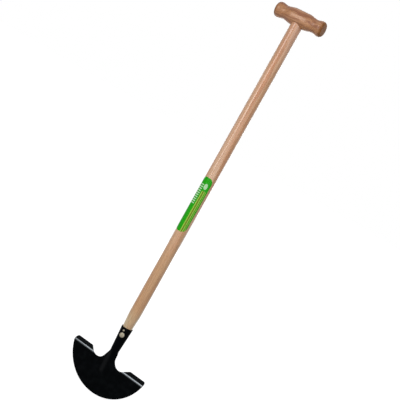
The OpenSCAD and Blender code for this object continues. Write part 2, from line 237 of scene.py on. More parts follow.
class EdgerShaft(bpy.types.PropertyGroup):
    """Sizes of the straight shaft."""

    shaft_d: length("Diameter", "Diameter of the shaft", 28)
    foot_z: length("Foot", "Height of the shaft's lower end, inside the socket", 118)
    foot_r: length("Foot radius", "Radius at the lower end", 8.453)
    taper_z: length("Taper end", "Height at which the taper ends", 206.2)
    top_z: length("Top", "Height of the shaft's upper end, inside the grip", 978.5)


class EdgerColours(bpy.types.PropertyGroup):
    """Colours of the finishes."""

    enamel: colour("Enamel", "Black enamel of the head", "040506")
    enamel_cast: colour("Enamel cast", "Cool cast of the enamel's reflections", "eff8ff")
    ash_pale: colour("Shaft pale", "Pale early wood of the shaft", "cba280")
    ash_dark: colour("Shaft dark", "Darker early wood of the shaft", "bd8d61")
    ash_streak: colour("Shaft streak", "Orange brown streaks of the shaft", "ba7b4c")
    ash_flame: colour("Shaft flame", "One strong orange streak on the upper shaft", "aa6a33")
    ash_low: colour("Shaft low", "Yellower wood of the lower half", "b38550")
    ash_foot: colour("Shaft foot", "Greyer wood just above the socket", "c3ac86")
    ash_top: colour("Shaft top", "Pinker wood below the grip", "bc8c70")
    grip_pale: colour("Grip pale", "Pale early wood of the grip", "bc8963")
    grip_dark: colour("Grip dark", "Darker early wood of the grip", "a8744a")
    grip_streak: colour("Grip streak", "Red brown streaks of the grip", "875030")
    # Darker wood at the grip's ends: end grain on the end faces, and painted shade that darkens the rims of the
    # bulbs.
    grip_end: colour("Grip end", "End grain that soaked up the lacquer", "7f5228")
    steel: colour("Fasteners", "Dull bright steel of rivet and nails", "958e7c")
    film: colour("Film", "Green ground of the label", "1da402")
    # Pale print, which in the first stripe also stands for a painted highlight.
    film_pale_and_highlight: colour("Film pale", "Pale stripes of the label", "b4c455")
    film_dark: colour("Film dark", "Olive brown stripes of the label", "7a6a10")
    film_white: colour("Film white", "Near white print of the label", "d4eecb")
    floor: colour("Floor", "Pale floor", "ffffff")


class EdgerSettings(bpy.types.PropertyGroup):
    """All settings of the edger."""

    head: PointerProperty(type=EdgerHead)
    shaft: PointerProperty(type=EdgerShaft)
    grip: PointerProperty(type=EdgerGrip)
    colours: PointerProperty(type=EdgerColours)


def feed(tree, node, inputs):
    """Link or set a node's inputs, by name or number in a dict, or else in order.

    A node given as a value stands for the first output that its settings leave in use.
    """
    if not isinstance(inputs, dict):
        inputs = dict(zip((i for i, socket in enumerate(node.inputs) if socket.enabled), inputs))
    for name, value in inputs.items():
        if isinstance(value, bpy.types.Node):
            value = next(socket for socket in value.outputs if socket.enabled)
        if isinstance(value, bpy.types.NodeSocket):
            tree.links.new(value, node.inputs[name])
        else:
            node.inputs[name].default_value = value


def add(tree, kind, settings=None, inputs=()):
    """Add a node to a tree with its settings and its inputs."""
    node = tree.nodes.new(kind)
    for name, value in (settings or {}).items():
        setattr(node, name, value)
    feed(tree, node, inputs)
    return node


def opaque(rgb):
    """A colour with full alpha, as sockets take it."""
    return (*rgb, 1.0)


def toned(rgb, factor, more=0.0):
    """A colour made darker or paler, with full alpha."""
    return opaque([min(1.0, c * factor + more) for c in rgb])


def per_speck(x, y, z):
    """Scale of a noise whose specks have the given sizes in millimetres."""
    return [1 / (size * MM) for size in (x, y, z)]


def new_material(name):
    """An empty material with its tree, its Principled shader and its Object coordinates."""
    material = bpy.data.materials.new(name)
    material.use_nodes = True
    tree = material.node_tree
    tree.nodes.clear()
    shader = add(tree, "ShaderNodeBsdfPrincipled")
    add(tree, "ShaderNodeOutputMaterial", None, {"Surface": shader})
    place = add(tree, "ShaderNodeTexCoord").outputs["Object"]
    return material, tree, shader, place


def black_enamel(name, rgb, cast, roughness, specular):
    """Stoved black enamel on pressed steel: near black, with faint orange peel, dull spots and a painted highlight
    along the frog's ridge.
    """
    material, tree, shader, place = new_material(name)
    rubbed, peel = (
        add(tree, NOISE, None, {"Vector": add(tree, VECTOR, MULTIPLY, (place, per_speck(size, size, size))),
                                "Scale": 1.0, "Detail": detail})
        for size, detail in ((RUB_SIZE, 4), (PEEL_SIZE, 1)))
    patch = add(tree, RANGE, SMOOTH, (rubbed, *RUB_NOISE, 0.0, 1.0))
    paint = add(tree, MIX, TONES, (patch, opaque(rgb), toned(rgb, *RUB_TONE)))
    axes = add(tree, SPLIT, None, (place,)).outputs
    # Painted highlight: a lighter tone of the enamel along the frog's ridge, where the bulge catches the light.
    beside = add(tree, MATH, ABSOLUTE, (add(tree, MATH, SUBTRACT, (axes[0], RIDGE_HIGHLIGHT_X * MM)),))
    ridge_highlight = add(tree, RANGE, SMOOTH, (beside, *(edge * MM for edge in RIDGE_HIGHLIGHT_BESIDE), 0.0, 1.0))
    for edges in (RIDGE_HIGHLIGHT_UP, RIDGE_HIGHLIGHT_DOWN):
        end = add(tree, RANGE, SMOOTH, (axes[2], *(edge * MM for edge in edges), 0.0, 1.0))
        ridge_highlight = add(tree, MATH, MULTIPLY, (ridge_highlight, end))
    feed(tree, shader, {
        "Base Color": add(tree, MIX, TONES, (ridge_highlight, paint, toned(rgb, *RIDGE_HIGHLIGHT_TONE))),
        "Roughness": add(tree, RANGE, None, (patch, 0.0, 1.0, roughness, roughness + RUB_ROUGHER)),
        "Specular IOR Level": specular,
        "Specular Tint": opaque(cast),
        "Normal": add(tree, BUMP, None, {"Strength": PEEL_BUMP, "Distance": PEEL_DEPTH * MM, "Height": peel}),
    })
    return material


def lacquered_ash(name, colours, wood, coat, specular):
    """Clear lacquered ash: pale and brown streaks along the grain, short dark pores, a satin gloss.

    The grain runs along Z after the wood's turn, the shift in millimetres picks its course, and its figure changes
    over the run.
    """
    material, tree, shader, place = new_material(name)
    pale, dark, streak = (opaque(getattr(colours, tone)) for tone in wood["tones"])
    axes = add(tree, SPLIT, None, (place,)).outputs
    along = add(tree, "ShaderNodeMapping", None, {
        "Vector": place, "Rotation": wood["turn"], "Location": [s * MM for s in wood["shift"]]})
    run = wood["run"]
    layers = []
    figure = [(width, run * share, *rest) for width, share, *rest in (ASH_BROAD, ASH_BANDS)]
    for width, far, detail, low, high in (*figure, ASH_LINES, ASH_PORES):
        scaled = add(tree, VECTOR, MULTIPLY, (along, per_speck(width, width, far)))
        specks = add(tree, NOISE, None, {"Vector": scaled, "Scale": 1.0, "Detail": detail})
        layers.append(add(tree, RANGE, SMOOTH, (specks, low, high, 0.0, 1.0)))
    broad, bands, lines, pores = layers
    tone = add(tree, MIX, TONES, (broad, pale, dark))
    tone = add(tree, MIX, TONES, (add(tree, MATH, MULTIPLY, (bands, BAND_SHARE)), tone, streak))
    for axis, start, full, zone_tone, share in wood["zones"]:
        off = add(tree, MATH, ABSOLUTE, (axes[axis],))
        zone = add(tree, RANGE, SMOOTH, (off, start * MM, full * MM, 0.0, 1.0))
        patchy = add(tree, RANGE, None, (broad, 0.0, 1.0, share, share * ZONE_LEFT))
        zone = add(tree, MATH, MULTIPLY, (zone, patchy))
        tone = add(tree, MIX, TONES, (zone, tone, opaque(getattr(colours, zone_tone))))
    if wood["flame"]:
        mask = flame_mask(tree, axes, along, wood["flame"])
        tone = add(tree, MIX, TONES, (mask, tone, opaque(getattr(colours, wood["flame"]["tone"]))))
    mark = add(tree, MATH, MAXIMUM, (add(tree, MATH, MULTIPLY, (lines, LINE_MARK)),
                                     add(tree, MATH, MULTIPLY, (pores, PORE_MARK))))
    relief = add(tree, MATH, SUBTRACT, (add(tree, MATH, MULTIPLY, (lines, LINE_HEIGHT)), pores))
    feed(tree, shader, {
        "Base Color": add(tree, MIX, TONES, (mark, tone, toned(streak[:3], MARK_DARK))),
        "Roughness": add(tree, RANGE, None, (pores, 0.0, 1.0, *ASH_ROUGHNESS)),
        "Specular IOR Level": specular,
        "Coat Weight": coat,
        "Coat Roughness": LACQUER_ROUGHNESS,
        "Normal": add(tree, BUMP, None, {"Strength": GRAIN_BUMP, "Distance": GRAIN_DEPTH * MM, "Height": relief}),
    })
    return material


def flame_mask(tree, axes, along, flame):
    """1 on one strong streak that sways a little along the shaft, fading out at its sides and ends."""
    scaled = add(tree, VECTOR, MULTIPLY, (along, per_speck(*FLAME_DRIFT)))
    drift = add(tree, NOISE, None, {"Vector": scaled, "Scale": 1.0, "Detail": FLAME_DETAIL})
    sway = add(tree, RANGE, None, (drift, 0.0, 1.0, -flame["sway"], flame["sway"]))
    angle = add(tree, MATH, ARCTAN2, (axes[0], add(tree, MATH, MULTIPLY, (axes[1], -1.0))))
    turn = add(tree, MATH, SUBTRACT, (add(tree, MATH, ADD, (angle, sway)), flame["turn"]))
    off = add(tree, MATH, ABSOLUTE, (turn,))
    mask = add(tree, RANGE, SMOOTH, (off, *(flame["half"] * side for side in FLAME_SIDES), 0.0, 1.0))
    for edges in (flame["up"], flame["down"]):
        end = add(tree, RANGE, SMOOTH, (axes[2], *(edge * MM for edge in edges), 0.0, 1.0))
        mask = add(tree, MATH, MULTIPLY, (mask, end))
    return mask


def zinc_steel(name, rgb, paint, middle, turn, face_r):
    """Zinc plated mild steel, hammered: dull warm grey metal with dents and scuffs, and paint round its rim.

    The head's axis is level, at the middle's height, and turned from the front. Paint starts at the face's radius.
    """
    material, tree, shader, place = new_material(name)
    scuffs, dents = (
        add(tree, NOISE, None, {"Vector": add(tree, VECTOR, MULTIPLY, (place, per_speck(size, size, size))),
                                "Scale": 1.0, "Detail": detail})
        for size, detail in ((SCUFF_SIZE, 3), (DENT_SIZE, 1)))
    scuff = add(tree, RANGE, SMOOTH, (scuffs, *SCUFF_NOISE, 0.0, 1.0))
    metal = add(tree, MIX, TONES, (scuff, opaque(rgb), toned(rgb, SCUFF_DARK)))
    axes = add(tree, SPLIT, None, (place,)).outputs
    beside = add(tree, MATH, ADD, (add(tree, MATH, MULTIPLY, (axes[0], math.cos(turn))),
                                   add(tree, MATH, MULTIPLY, (axes[1], math.sin(turn)))))
    above = add(tree, MATH, SUBTRACT, (axes[2], middle))
    squares = [add(tree, MATH, MULTIPLY, (way, way)) for way in (beside, above)]
    off = add(tree, MATH, SQRT, (add(tree, MATH, ADD, squares),))
    rim = add(tree, RANGE, SMOOTH, (off, face_r - RIM_SOFT * MM, face_r + RIM_SOFT * MM, 0.0, 1.0))
    feed(tree, shader, {
        "Base Color": add(tree, MIX, TONES, (rim, metal, opaque(paint))),
        "Roughness": add(tree, RANGE, None, (scuff, 0.0, 1.0, *STEEL_ROUGHNESS)),
        "Metallic": add(tree, MATH, SUBTRACT, (1.0, rim)),
        "Normal": add(tree, BUMP, None, {"Strength": DENT_BUMP, "Distance": DENT_DEPTH * MM, "Height": dents}),
    })
    return material


def printed_film(colours, low, high):
    """Printed polypropylene film: glossy green with pinstripes, the first of them partly a painted highlight, a
    ladder of pale rungs and a pale spot.
    """
    material, tree, shader, place = new_material("printed_polypropylene_film")
    axes = add(tree, SPLIT, None, (place,)).outputs
    angle = add(tree, MATH, ARCTAN2, (axes[0], add(tree, MATH, MULTIPLY, (axes[1], -1.0))))
    round_it = add(tree, MATH, MULTIPLY, (angle, high[0]))
    up = add(tree, MATH, SUBTRACT, (axes[2], (low[2] + high[2]) / 2))

    def between(value, first, last):
        """1 where the value lies between two places in millimetres, with a soft edge."""
        half = (last - first) / 2
        off = add(tree, MATH, ABSOLUTE, (add(tree, MATH, SUBTRACT, (value, (first + last) / 2 * MM)),))
        return add(tree, RANGE, SMOOTH, (off, (half + PRINT_EDGE) * MM, (half - PRINT_EDGE) * MM, 0.0, 1.0))

    def inked(under, share, tone, *masks):
        """The print so far with a tone laid over it where all masks are 1."""
        cover = share
        for mask in masks:
            cover = add(tree, MATH, MULTIPLY, (mask, cover))
        return add(tree, MIX, TONES, (cover, under, opaque(tone)))

    specks = add(tree, NOISE, None, {"Vector": add(tree, VECTOR, MULTIPLY, (place, per_speck(*MOTTLE_SIZE))),
                                     "Scale": 1.0, "Detail": 2})
    mottle = add(tree, RANGE, SMOOTH, (specks, *MOTTLE_NOISE, 0.0, 1.0))
    ground = add(tree, MATH, MULTIPLY, (mottle, MOTTLE_SHARE))
    ink = add(tree, MIX, TONES, (ground, opaque(colours.film), toned(colours.film, MOTTLE_DARK)))
    run = between(up, *STRIPES_UP)
    # The first stripe is partly a painted highlight along the film.
    for middle, half, tone in STRIPES_AND_HIGHLIGHT:
        stripe = between(round_it, middle - half, middle + half)
        ink = inked(ink, STRIPE_INK, getattr(colours, tone), stripe, run)
    wave = add(tree, MATH, {"operation": "PINGPONG"}, (up, RUNG_STEP / 2 * MM))
    ink = inked(ink, RUNG_INK, colours.film_white, between(round_it, *LADDER_ROUND), between(up, *LADDER_UP),
                between(wave, RUNG_STEP / 4, RUNG_STEP))
    reach = [add(tree, MATH, DIVIDE, (add(tree, MATH, SUBTRACT, (value, at * MM)), half * MM))
             for value, at, half in zip((round_it, up), SPOT_AT, SPOT_HALF)]
    squares = [add(tree, MATH, MULTIPLY, (way, way)) for way in reach]
    away = add(tree, MATH, SQRT, (add(tree, MATH, ADD, squares),))
    ink = inked(ink, SPOT_INK, colours.film_white, add(tree, RANGE, SMOOTH, (away, *SPOT_EDGE, 0.0, 1.0)))
    feed(tree, shader, {
        "Base Color": ink,
        "Roughness": add(tree, RANGE, None, (mottle, 0.0, 1.0, *FILM_ROUGHNESS)),
        "Specular IOR Level": FILM_SPECULAR,
        "Coat Weight": FILM_COAT,
        "Coat Roughness": FILM_COAT_ROUGHNESS,
    })
    return material


def seat(obj, node):
    """Let a finished piece stand for its node and move with the body."""
    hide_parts(node)
    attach(obj, "root")


def dress(node, material):
    """Give a CAD node its material."""
    obj = bpy.data.objects[node]
    obj.data.materials.clear()
    obj.data.materials.append(material)


def clamp(value):
    """The value held between 0 and 1."""
    return max(0.0, min(1.0, value))


class HeadSheet:
    """The head's sheet as one middle surface: half moon, folded treads, frog, neck and rolled socket."""

    side_columns, neck_columns = 40, 80
    blade_rows, edge_rows, notch_rows, socket_rows = 44, 3, 52, 14
    fold_rows, bend_rows, gloss_rows, flat_rows = 6, 14, 9, 8

    def __init__(self, sizes):
        self.s = s = sizes
        self.y = -s.blade_set
        self.neck_r = (s.neck_d - s.sheet) / 2
        self.slope = (s.mouth_d - s.neck_d) / 2 / (s.mouth_z - s.neck_z)
        self.notch_z = s.fold_z - s.notch_drop + s.notch_r
        self.foot_z = self.notch_z - s.notch_r
        self.bm = bmesh.new()

    def tube_r(self, z):
        """Middle radius of the rolled part at a height."""
        return self.neck_r + self.slope * max(0.0, z - self.s.neck_z)

    def frog_rise(self, z):
        """How far the frog's ridge stands out of the blade."""
        s = self.s
        return (self.tube_r(z) - s.blade_set) * clamp((z - s.frog_z) / (s.neck_z - s.frog_z))

    def pressed(self, x, z):
        """A point of the blade and the frog pressed into it."""
        s = self.s
        reach = s.frog_w ** 2 - max(0.0, s.frog_z + s.frog_w - z) ** 2
        half = math.sqrt(reach) if reach > 0 else 0.0
        out = self.frog_rise(z) * (1 + math.cos(math.pi * x / half)) / 2 if abs(x) < half else 0.0
        return Vector((x, self.y - out, z))

    def neck(self, share, z):
        """A point of the neck or socket, share -1..1 across the blank, rolled up as the height rises."""
        s = self.s
        r = self.tube_r(z)
        half = math.pi * r - s.seam / 2
        if z < self.notch_z + s.notch_r:
            inner = s.notch_x - math.sqrt(max(0.0, s.notch_r ** 2 - (z - self.notch_z) ** 2))
            half = inner if z < self.notch_z else min(half, inner)
        t = (z - self.foot_z) / (2 * s.notch_r)
        roll = (1 - math.cos(math.pi * clamp((t - ROLL_START) / ROLL_SHARE))) / 2
        flat = self.pressed(share * half, z)
        turn = share * half / r
        round_ = Vector((r * math.sin(turn), self.y - self.frog_rise(z) + r - r * math.cos(turn), z))
        return flat.lerp(round_, roll)

    def grid(self, rows):
        """Join rows of points into quads."""
        lines = [[self.bm.verts.new(p) for p in row] for row in rows]
        for low, high in zip(lines, lines[1:]):
            for i in range(len(low) - 1):
                self.bm.faces.new((low[i], low[i + 1], high[i + 1], high[i]))

    def chord_turns(self):
        """Height from the chord to the arc's middle, and angles there of the blade's and the neck's columns."""
        drop = self.s.blade_r - self.foot_z
        outer = math.acos(drop / self.s.blade_r)
        inner = math.atan2(self.s.notch_x, drop)
        side = [inner + (outer - inner) * i / self.side_columns for i in range(self.side_columns + 1)]
        neck = [inner * (2 * i / self.neck_columns - 1) for i in range(self.neck_columns + 1)]
        return drop, side, neck

    def blade(self):
        """The half moon below the treads, on rays from the middle of its arc."""
        s = self.s
        drop, side, neck = self.chord_turns()
        turns = [-a for a in reversed(side)][:-1] + neck + side[1:]
        rows = []
        steps = self.blade_rows + self.edge_rows
        for k in range(steps + 1):
            row = []
            for turn in turns:
                top = drop / math.cos(turn)
                ground = max(top, s.blade_r - s.edge_w)
                if k <= self.blade_rows:
                    reach = top + (ground - top) * k / self.blade_rows
                else:
                    reach = ground + (s.blade_r - ground) * (k - self.blade_rows) / self.edge_rows
                row.append(self.pressed(reach * math.sin(turn), s.blade_r - reach * math.cos(turn)))
            rows.append(row)
        self.grid(reversed(rows))

    def socket(self):
        """The neck between the notches, and the rolled socket above it."""
        s = self.s
        _, _, neck = self.chord_turns()
        first = [math.tan(a) / math.tan(neck[-1]) for a in neck]
        even = [2 * i / self.neck_columns - 1 for i in range(self.neck_columns + 1)]
        heights = [self.notch_z - s.notch_r * math.cos(math.pi * k / self.notch_rows)
                   for k in range(self.notch_rows + 1)]
        top = heights[-1]
        heights += [top + (s.mouth_z - top) * (k + 1) / self.socket_rows for k in range(self.socket_rows)]
        rows = []
        for z in heights:
            part = clamp((z - self.foot_z) / (2 * s.notch_r))
            rows.append([self.neck(a + (b - a) * part, z) for a, b in zip(first, even)])
        self.grid(rows)

    def tread(self, hand):
        """One tread: flat to the fold, bent back and flat again, hand -1 left or 1 right."""
        s = self.s
        drop, side, _ = self.chord_turns()
        chord = [drop * math.tan(a) for a in side]
        shares = [(x - chord[0]) / (chord[-1] - chord[0]) for x in chord]
        bend = s.bend_r - s.sheet / 2
        half = math.sqrt(s.blade_r ** 2 - (s.blade_r - s.fold_z) ** 2)
        path = []
        end_turn = math.acos(1 - (s.fold_z - self.foot_z) / s.notch_r)
        for k in range(self.fold_rows + 1):
            path.append((self.y, self.notch_z - s.notch_r * math.cos(end_turn * k / self.fold_rows)))
        for k in range(1, self.bend_rows + 1):
            a = s.tread_angle * k / self.bend_rows
            path.append((self.y + bend * (1 - math.cos(a)), s.fold_z + bend * math.sin(a)))
        y, z = path[-1]
        for k in range(1, self.flat_rows + 1):
            run = s.tread_flat * math.sin(math.pi / 2 * k / self.flat_rows)
            path.append((y + run * math.sin(s.tread_angle), z + run * math.cos(s.tread_angle)))
        top = path[-1][1]
        # The tread's inner end runs straight, touching the notch's circle.
        to_x, to_z = s.tread_in - s.notch_x, top - self.notch_z
        touch = math.atan2(to_z, to_x) - math.acos(s.notch_r / math.hypot(to_x, to_z))
        touch_x = s.notch_x + s.notch_r * math.cos(touch)
        touch_z = self.notch_z + s.notch_r * math.sin(touch)
        rows = []
        for y, z in path:
            if z < touch_z:
                inner = s.notch_x + math.sqrt(max(0.0, s.notch_r ** 2 - (z - self.notch_z) ** 2))
            else:
                inner = touch_x + (s.tread_in - touch_x) * (z - touch_z) / (top - touch_z)
            outer = math.sqrt(s.blade_r ** 2 - (s.blade_r - min(z, s.fold_z)) ** 2)
            rise = z - (top - s.tread_corner)
            if rise > 0:
                outer = half - s.tread_corner + math.sqrt(max(0.0, s.tread_corner ** 2 - rise ** 2))
            rows.append([Vector((hand * (inner + (outer - inner) * f), y, z)) for f in shares])
        self.grid(rows if hand > 0 else [row[::-1] for row in rows])

    def finish(self, ring, gloss_top):
        """Which enamel a front face wears: satin, gloss on the lower part of a tread's bend, worn above that."""
        s = self.s
        heights = [v.co.z if abs(v.co.x) > s.notch_x else 0.0 for v in ring]
        if min(heights) < s.fold_z - SHEET_SLACK:
            return SATIN
        return GLOSS if max(heights) < gloss_top + SHEET_SLACK else WORN

    def mesh(self):
        """The closed sheet: front and back walls off the middle surface, joined along the cut edges."""
        s, bm = self.s, self.bm
        self.blade()
        self.socket()
        self.tread(-1)
        self.tread(1)
        bmesh.ops.remove_doubles(bm, verts=bm.verts, dist=SHEET_MERGE)
        bmesh.ops.recalc_face_normals(bm, faces=bm.faces)
        bm.normal_update()
        bm.verts.ensure_lookup_table()
        sign = 1 if bm.verts[0].normal.y < 0 else -1
        edge = [e for e in bm.edges if e.is_boundary]
        gloss_turn = s.tread_angle * self.gloss_rows / self.bend_rows
        gloss_top = s.fold_z + (s.bend_r - s.sheet / 2) * math.sin(gloss_turn)
        fronts, backs = {}, {}
        out = bmesh.new()
        for v in bm.verts:
            n = v.normal * sign
            near = 0.0
            if v.co.z < s.fold_z:
                to_edge = s.blade_r - math.hypot(v.co.x, s.blade_r - v.co.z)
                near = clamp(1 - to_edge / s.edge_w)
            fronts[v] = out.verts.new(v.co + n * s.sheet / 2)
            backs[v] = out.verts.new(v.co - n * (s.sheet / 2 - (s.sheet - s.edge_t) * near))
        for f in bm.faces:
            ring = list(f.verts)
            front = ring if sign > 0 else ring[::-1]
            out.faces.new([fronts[v] for v in front]).material_index = self.finish(ring, gloss_top)
            out.faces.new([backs[v] for v in reversed(front)])
        for e in edge:
            a, b = e.verts
            out.faces.new((fronts[a], fronts[b], backs[b], backs[a]))
        bmesh.ops.recalc_face_normals(out, faces=out.faces)
        for f in out.faces:
            f.smooth = True
        mesh = bpy.data.meshes.new("head")
        out.to_mesh(mesh)
        out.free()
        bm.free()
        return mesh


class EDGER_OT_head(bpy.types.Operator):
    """Press the head from one sheet: half moon, treads, frog, neck and socket"""

    bl_idname = "edger.head"
    bl_label = "Pressed Head"

    def execute(self, context):
        settings = context.scene.edger
        head = bpy.data.objects.new("pressed_head", HeadSheet(settings.head).mesh())
        context.scene.collection.objects.link(head)
        rim = head.modifiers.new("Rim", "BEVEL")
        rim.limit_method, rim.angle_limit = "ANGLE", RIM_ANGLE
        rim.width, rim.segments, rim.harden_normals = settings.head.rim, RIM_STEPS, True
        c = settings.colours
        for finish, roughness, specular in ENAMEL_FINISHES:
            head.data.materials.append(black_enamel(
                f"stoved_black_enamel_{finish}", c.enamel, c.enamel_cast, roughness, specular))
        seat(head, "blade_head")
        return {"FINISHED"}


def tree_inputs(tree, sizes, *materials):
    """Give a geometry tree its size inputs, its material inputs and its output, and return the inputs."""
    for name in sizes:
        tree.interface.new_socket(name=name, in_out="INPUT", socket_type="NodeSocketFloat")
    for name in materials:
        tree.interface.new_socket(name=name, in_out="INPUT", socket_type="NodeSocketMaterial")
    tree.interface.new_socket(name="Geometry", in_out="OUTPUT", socket_type="NodeSocketGeometry")
    return add(tree, "NodeGroupInput").outputs


def turned_body(tree, ends, points, radius):
    """A closed body of rings along a line, with a radius that may change along it."""
    line = add(tree, "GeometryNodeCurvePrimitiveLine", None, {"Start": ends[0], "End": ends[1]})
    fine = add(tree, "GeometryNodeResampleCurve", None, {"Curve": line, "Count": points})
    ring = add(tree, "GeometryNodeCurvePrimitiveCircle", None, {"Resolution": RING_SIDES, "Radius": 1.0})
    return add(tree, "GeometryNodeCurveToMesh", None, {
        "Curve": fine, "Profile Curve": ring, "Scale": radius, "Fill Caps": True})


def tree_end(tree, body, *finishes):
    """Shade a body smooth except at its sharp edges, make it real and finish it: pairs of faces and a material."""
    smooth = add(tree, "GeometryNodeSetShadeSmooth", None, (body,))
    bend = add(tree, "GeometryNodeInputMeshEdgeAngle")
    sharp = add(tree, "FunctionNodeCompare", None, (bend, CRISP_ANGLE))
    crisp = add(tree, "GeometryNodeSetShadeSmooth", {"domain": "EDGE"}, (smooth, sharp, False))
    done = add(tree, "GeometryNodeRealizeInstances", None, (crisp,))
    for faces, material in finishes:
        done = add(tree, "GeometryNodeSetMaterial", None, (done, faces, material))
    add(tree, "NodeGroupOutput", None, (done,))


def turned_grip_tree(sizes):
    """Geometry Nodes of the turned grip: rings that follow the lathe's profile, bored for shaft and nail."""
    tree = bpy.data.node_groups.new("turned_grip", "GeometryNodeTree")
    given = tree_inputs(tree, sizes, "Material", "End Material")
    half = {name: add(tree, MATH, MULTIPLY, (given[name], 0.5)) for name in (
        "span", "belly_d", "belly_l", "waist_d", "bulb_d", "end_d", "bore_d", "nail_head_d")}
    left = add(tree, MATH, MULTIPLY, (half["span"], -1.0))
    ends = [add(tree, JOIN, None, (x, 0.0, given["axis_z"])) for x in (left, half["span"])]
    spot = add(tree, SPLIT, None, (add(tree, "GeometryNodeInputPosition"),)).outputs
    off = add(tree, MATH, ABSOLUTE, (spot[0],))
    falls = [add(tree, MATH, SUBTRACT, (half[wide], half[slim]))
             for wide, slim in (("belly_d", "waist_d"), ("bulb_d", "waist_d"), ("bulb_d", "end_d"))]
    dip = add(tree, RANGE, SMOOTH, (off, half["belly_l"], given["waist_x"], 0.0, falls[0]))
    swell = add(tree, RANGE, SMOOTH, (off, given["waist_x"], given["bulb_x"], 0.0, falls[1]))
    out = add(tree, RANGE, None, (off, given["bulb_x"], half["span"], 0.0, 1.0))
    rest = add(tree, MATH, SUBTRACT, (1.0, add(tree, MATH, MULTIPLY, (out, out))))
    shoulder = add(tree, MATH, SUBTRACT, (1.0, add(tree, MATH, SQRT, (rest,))))
    fall = add(tree, MATH, MULTIPLY, (shoulder, falls[2]))
    slim = add(tree, MATH, SUBTRACT, (half["belly_d"], dip))
    radius = add(tree, MATH, SUBTRACT, (add(tree, MATH, ADD, (slim, swell)), fall))
    body = turned_body(tree, ends, GRIP_POINTS, radius)
    bore = add(tree, "GeometryNodeMeshCylinder", None, {
        "Vertices": RING_SIDES, "Radius": half["bore_d"], "Depth": TOOL_L})
    bore_top = add(tree, MATH, ADD, (given["axis_z"], given["bore_up"]))
    bore_at = add(tree, JOIN, None, (0.0, 0.0, add(tree, MATH, SUBTRACT, (bore_top, TOOL_L / 2))))
    bored = add(tree, "GeometryNodeTransform", None, {"Geometry": bore, "Translation": bore_at})
    recess = add(tree, "GeometryNodeMeshCylinder", None, {
        "Vertices": RECESS_SIDES, "Radius": half["nail_head_d"], "Depth": TOOL_L})
    recess_y = add(tree, MATH, ADD, (given["nail_seat"], TOOL_L / 2))
    recess_at = add(tree, JOIN, None, (0.0, recess_y, given["axis_z"]))
    sunk = add(tree, "GeometryNodeTransform", None, {
        "Geometry": recess, "Translation": recess_at, "Rotation": (math.pi / 2, 0, 0)})
    cut = add(tree, "GeometryNodeMeshBoolean", {"operation": "DIFFERENCE", "solver": "MANIFOLD"}, {0: body})
    for tool in (bored, sunk):
        feed(tree, cut, {1: tool})
    tip_x = add(tree, MATH, ADD, (given["bulb_x"], END_GRAIN_AT))
    tips = add(tree, MATH, {"operation": "GREATER_THAN"}, (off, tip_x))
    tree_end(tree, cut, (True, given["Material"]), (tips, given["End Material"]))
    return tree


def turned_shaft_tree(sizes):
    """Geometry Nodes of the shaft: rings whose radius grows up the tapered foot and then stays."""
    tree = bpy.data.node_groups.new("turned_shaft", "GeometryNodeTree")
    given = tree_inputs(tree, sizes, "Material")
    ends = [add(tree, JOIN, None, (0.0, 0.0, given[name])) for name in ("foot_z", "top_z")]
    spot = add(tree, SPLIT, None, (add(tree, "GeometryNodeInputPosition"),)).outputs
    full_r = add(tree, MATH, MULTIPLY, (given["shaft_d"], 0.5))
    radius = add(tree, RANGE, None, (spot[2], given["foot_z"], given["taper_z"], given["foot_r"], full_r))
    tree_end(tree, turned_body(tree, ends, SHAFT_POINTS, radius), (True, given["Material"]))
    return tree


def bake(context, name, tree, values):
    """A plain mesh object from a Geometry Nodes tree with the given inputs."""
    obj = bpy.data.objects.new(name, bpy.data.meshes.new(name))
    context.scene.collection.objects.link(obj)
    nodes = obj.modifiers.new("Nodes", "NODES")
    nodes.node_group = tree
    for item in tree.interface.items_tree:
        if item.in_out == "INPUT":
            nodes[item.identifier] = values[item.name]
    grown = obj.evaluated_get(context.evaluated_depsgraph_get())
    mesh = bpy.data.meshes.new_from_object(grown)
    obj.modifiers.remove(nodes)
    obj.data = mesh
    if not mesh.polygons:
        raise RuntimeError(f"{name} came out empty")
    return obj


class EDGER_OT_shaft(bpy.types.Operator):
    """Turn the straight shaft with its tapered foot and finish it in clear lacquered wood"""

    bl_idname = "edger.shaft"
    bl_label = "Shaft"

    def execute(self, context):
        settings = context.scene.edger
        values = {name: getattr(settings.shaft, name) for name in EdgerShaft.__annotations__}
        tree = turned_shaft_tree(list(values))
        values["Material"] = lacquered_ash("ash_shaft_clear_lacquer", settings.colours, SHAFT_WOOD, *SHAFT_GLOSS)
        seat(bake(context, "turned_shaft", tree, values), "shaft")
        return {"FINISHED"}


class EDGER_OT_grip(bpy.types.Operator):
    """Turn the T grip, bore it for the shaft and the nail's head, and leave its end grain matt"""

    bl_idname = "edger.grip"
    bl_label = "T Grip"

    def execute(self, context):
        settings = context.scene.edger
        c = settings.colours
        values = {name: getattr(settings.grip, name) for name in EdgerGrip.__annotations__}
        tree = turned_grip_tree(list(values))
        values["Material"] = lacquered_ash("ash_grip_turned_lacquer", c, GRIP_WOOD, *GRIP_GLOSS)
        values["End Material"] = lacquered_ash("ash_grip_end_grain", c, GRIP_WOOD, *END_GLOSS)
        seat(bake(context, "turned_grip", tree, values), "t_grip")
        return {"FINISHED"}


class EDGER_OT_fasteners(bpy.types.Operator):
    """Finish the rivet and the nails in dull zinc plated steel"""

    bl_idname = "edger.fasteners"
    bl_label = "Rivet and Nails"

    def execute(self, context):
        c = context.scene.edger.colours
        for node, turn, face_r in FASTENERS:
            low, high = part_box(node)
            dress(node, zinc_steel(f"zinc_plated_steel_{node}", c.steel, c.enamel, (low[2] + high[2]) / 2,
                                   math.radians(turn), face_r * MM))
        return {"FINISHED"}


